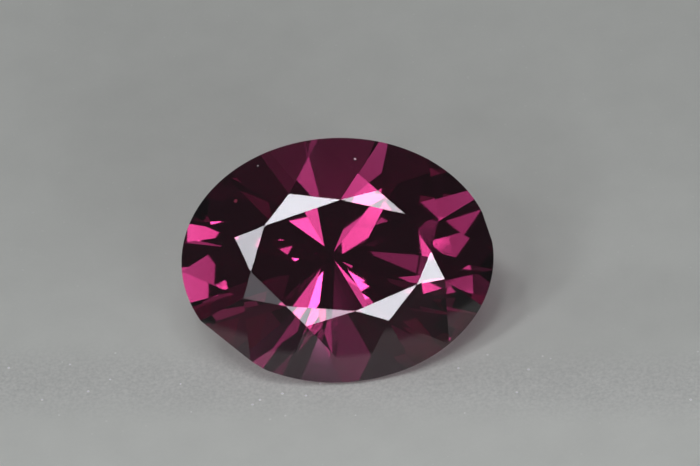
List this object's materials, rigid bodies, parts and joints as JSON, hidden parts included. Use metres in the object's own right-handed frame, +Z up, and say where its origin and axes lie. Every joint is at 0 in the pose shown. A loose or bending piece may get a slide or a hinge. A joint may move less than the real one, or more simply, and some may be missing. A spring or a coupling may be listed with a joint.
{
  "type": "faceted spinel gemstone",
  "caption": "Oval brilliant-cut spinel, a see-through plum-pink stone lying on one of its lower facets.",
  "frame": {"origin": "centre of the stone's box in plan, on the surface that the stone lies on", "axes": "+X along the stone's length, -Y the side that the table leans towards, +Z up"},
  "size_m": [0.008, 0.0048, 0.0046],
  "materials": {
    "spinel": "polished facets, frosted girdle, see-through purplish pink with absorption"
  },
  "bodies": {
    "root": {"spinel": "spinel"}
  },
  "joints": []
}
